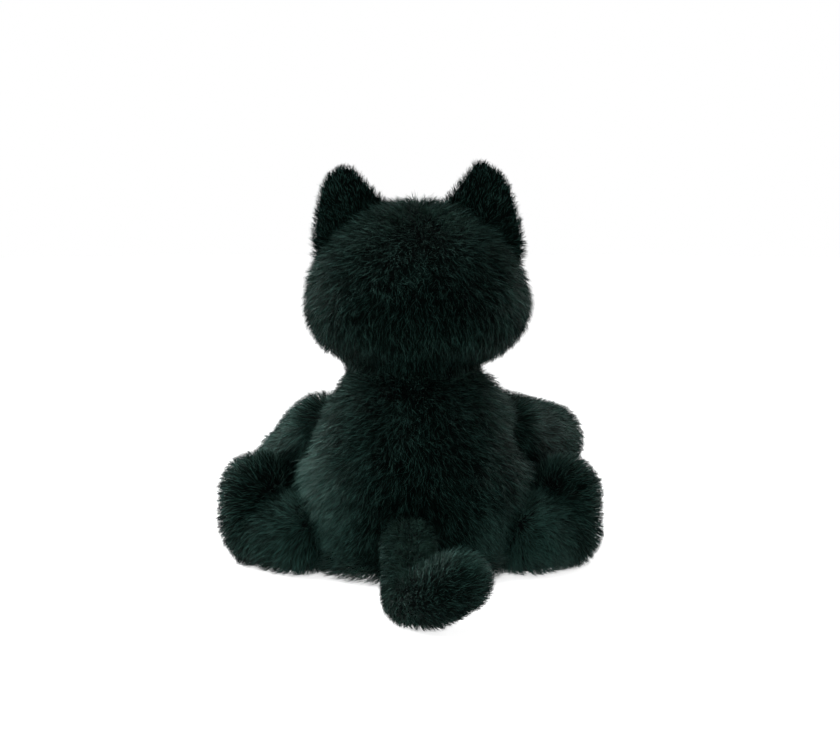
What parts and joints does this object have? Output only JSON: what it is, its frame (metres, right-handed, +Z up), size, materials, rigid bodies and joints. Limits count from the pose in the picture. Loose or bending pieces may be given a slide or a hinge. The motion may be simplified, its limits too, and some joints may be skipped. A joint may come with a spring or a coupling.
{
  "type": "plush cat",
  "caption": "Seated soft toy cat in long dark green-black fur, with turning head, flexing ears, swinging limbs and a curled tail.",
  "frame": {"origin": "middle of the flat seat, on the surface the cat sits on", "axes": "+Z up, the face looks along -Y, +X is the cat's left"},
  "size_m": [0.2245, 0.2613, 0.2362],
  "materials": {
    "long_pile": "long glossy synthetic pile",
    "short_pile": "short velour pile",
    "stuffing": "polyester fibre fill",
    "pouch_cloth": "plain woven cotton",
    "pellets": "loose polyethylene pellets",
    "eye_dome": "polished, amber with a black pupil",
    "nose_dome": "satin black",
    "washer": "natural moulded",
    "thread": "embroidery floss"
  },
  "bodies": {
    "torso": {"back_panel": "long_pile", "belly_panel": "long_pile", "seat_panel": "long_pile", "body_stuffing": "stuffing", "pellet_pouch": "pouch_cloth", "pellet_fill": "pellets"},
    "neck": {"neck_stuffing": "stuffing"},
    "head": {"head_back_panel": "long_pile", "face_panel": "long_pile", "head_stuffing": "stuffing", "left_eye": "eye_dome", "left_eye_washer": "washer", "right_eye": "eye_dome", "right_eye_washer": "washer", "nose": "nose_dome", "nose_washer": "washer", "mouth_stitch": "thread"},
    "left_ear": {"left_ear_back": "long_pile", "left_ear_front": "short_pile"},
    "right_ear": {"right_ear_back": "long_pile", "right_ear_front": "short_pile"},
    "left_arm": {"left_arm_cover": "long_pile", "left_arm_stuffing": "stuffing"},
    "right_arm": {"right_arm_cover": "long_pile", "right_arm_stuffing": "stuffing"},
    "left_leg": {"left_leg_cover": "long_pile", "left_sole_panel": "short_pile", "left_leg_stuffing": "stuffing"},
    "right_leg": {"right_leg_cover": "long_pile", "right_sole_panel": "short_pile", "right_leg_stuffing": "stuffing"},
    "tail": {"tail_cover": "long_pile", "tail_stuffing": "stuffing"}
  },
  "joints": [
    {"name": "neck_turn", "type": "hinge", "parent": "torso", "child": "neck", "pos_m": [0, -0.003, 0.128], "axis": [0, 0, 1], "range_deg": [-60, 60]},
    {"name": "head_nod", "type": "hinge", "parent": "neck", "child": "head", "pos_m": [0, -0.003, 0.128], "axis": [1, 0, 0], "range_deg": [-15, 15]},
    {"name": "left_ear_flex", "type": "hinge", "parent": "head", "child": "left_ear", "pos_m": [0.035, -0.003, 0.1966], "axis": [0.8111, 0, -0.585], "range_deg": [-20, 20], "stiffness_Nm_per_rad": 0.03},
    {"name": "right_ear_flex", "type": "hinge", "parent": "head", "child": "right_ear", "pos_m": [-0.039, -0.003, 0.1966], "axis": [-0.8111, 0, -0.585], "range_deg": [-20, 20], "stiffness_Nm_per_rad": 0.03},
    {"name": "left_shoulder", "type": "hinge", "parent": "torso", "child": "left_arm", "pos_m": [0.054, -0.022, 0.0775], "axis": [-0.8829, -0.4695, 0], "range_deg": [-10, 60]},
    {"name": "right_shoulder", "type": "hinge", "parent": "torso", "child": "right_arm", "pos_m": [-0.054, -0.022, 0.0775], "axis": [-0.8829, 0.4695, 0], "range_deg": [-25, 40]},
    {"name": "left_hip", "type": "hinge", "parent": "torso", "child": "left_leg", "pos_m": [0.066, 0.008, 0.022], "axis": [0, 0, -1], "range_deg": [-30, 6]},
    {"name": "right_hip", "type": "hinge", "parent": "torso", "child": "right_leg", "pos_m": [-0.066, 0.008, 0.022], "axis": [0, 0, 1], "range_deg": [-30, 10]},
    {"name": "tail_swing", "type": "hinge", "parent": "torso", "child": "tail", "pos_m": [0.0025, 0.065, 0.029], "axis": [0, 0, 1], "range_deg": [-25, 25]}
  ]
}
